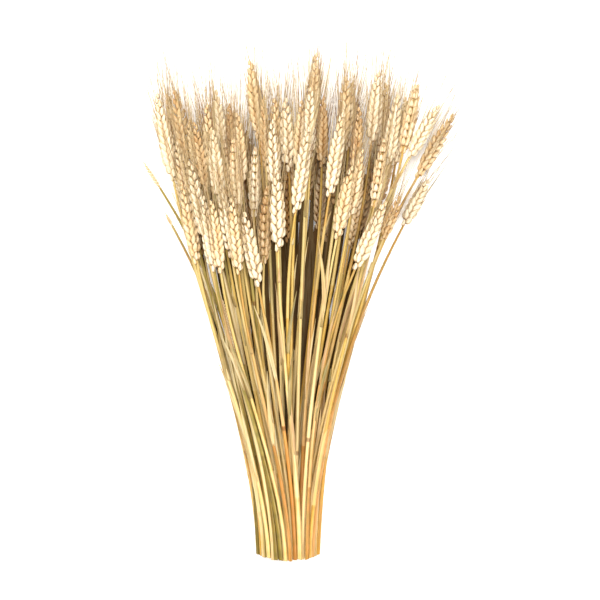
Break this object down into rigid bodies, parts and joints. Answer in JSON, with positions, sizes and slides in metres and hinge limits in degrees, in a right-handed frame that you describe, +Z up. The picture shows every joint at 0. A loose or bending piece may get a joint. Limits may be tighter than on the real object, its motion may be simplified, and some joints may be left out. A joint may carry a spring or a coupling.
{
  "type": "bundle of dried wheat",
  "caption": "Loose bundle of dried wheat lying on its side: straight stems close together at their cut ends, fanning out to a wide head of bearded ears.",
  "frame": {"origin": "centre of the bounding box's underside, on the surface that the bundle lies on", "axes": "+Y from the cut ends to the ears, +X across the fan to the right as seen from above, +Z up from the surface"},
  "size_m": [0.2666, 0.4298, 0.0858],
  "materials": {
    "cream": "matt dry husk and straw, pale cream",
    "tan": "matt dry husk and straw, tan",
    "brown": "matt dry husk and straw, golden brown",
    "green": "matt dry husk and straw, faded olive green"
  },
  "bodies": {
    "root": {"spray_1_1": "tan", "spray_2_1": "green", "spray_2_2": "tan", "spray_3_1": "tan", "spray_3_2": "green", "spray_4_1": "tan", "spray_4_2": "green", "stalk_4_1": "green", "stalk_4_2": "tan", "stalk_4_3": "tan", "stalk_4_4": "cream", "stalk_4_5": "tan", "stalk_5_1": "brown", "stalk_5_2": "tan", "stalk_5_3": "brown", "stalk_5_4": "tan", "stalk_5_5": "brown", "stalk_5_6": "tan", "stalk_5_7": "brown", "stalk_5_8": "tan", "stalk_5_9": "brown", "stalk_5_10": "tan", "stalk_5_11": "tan", "stalk_5_12": "cream", "stalk_6_1": "cream", "stalk_6_2": "brown", "stalk_6_3": "cream", "stalk_6_4": "tan", "stalk_6_5": "tan", "stalk_6_6": "cream", "stalk_6_7": "tan", "stalk_6_8": "cream", "stalk_6_9": "brown", "stalk_6_10": "cream", "stalk_6_11": "cream", "stalk_7_1": "green", "stalk_7_2": "tan", "stalk_7_3": "tan", "stalk_7_4": "cream", "stalk_7_5": "cream", "stalk_7_6": "tan", "stalk_7_7": "cream", "stalk_7_8": "cream", "stalk_7_9": "tan", "stalk_7_10": "tan", "stalk_8_1": "tan", "stalk_8_2": "cream", "stalk_8_3": "cream", "stalk_8_4": "cream", "stalk_8_5": "tan", "stalk_8_6": "brown", "stalk_8_7": "cream", "stalk_8_8": "tan", "stalk_8_9": "cream", "stalk_9_1": "green", "stalk_9_2": "cream", "stalk_9_3": "tan", "stalk_9_4": "tan", "stalk_9_5": "cream", "stalk_9_6": "cream"}
  },
  "joints": []
}
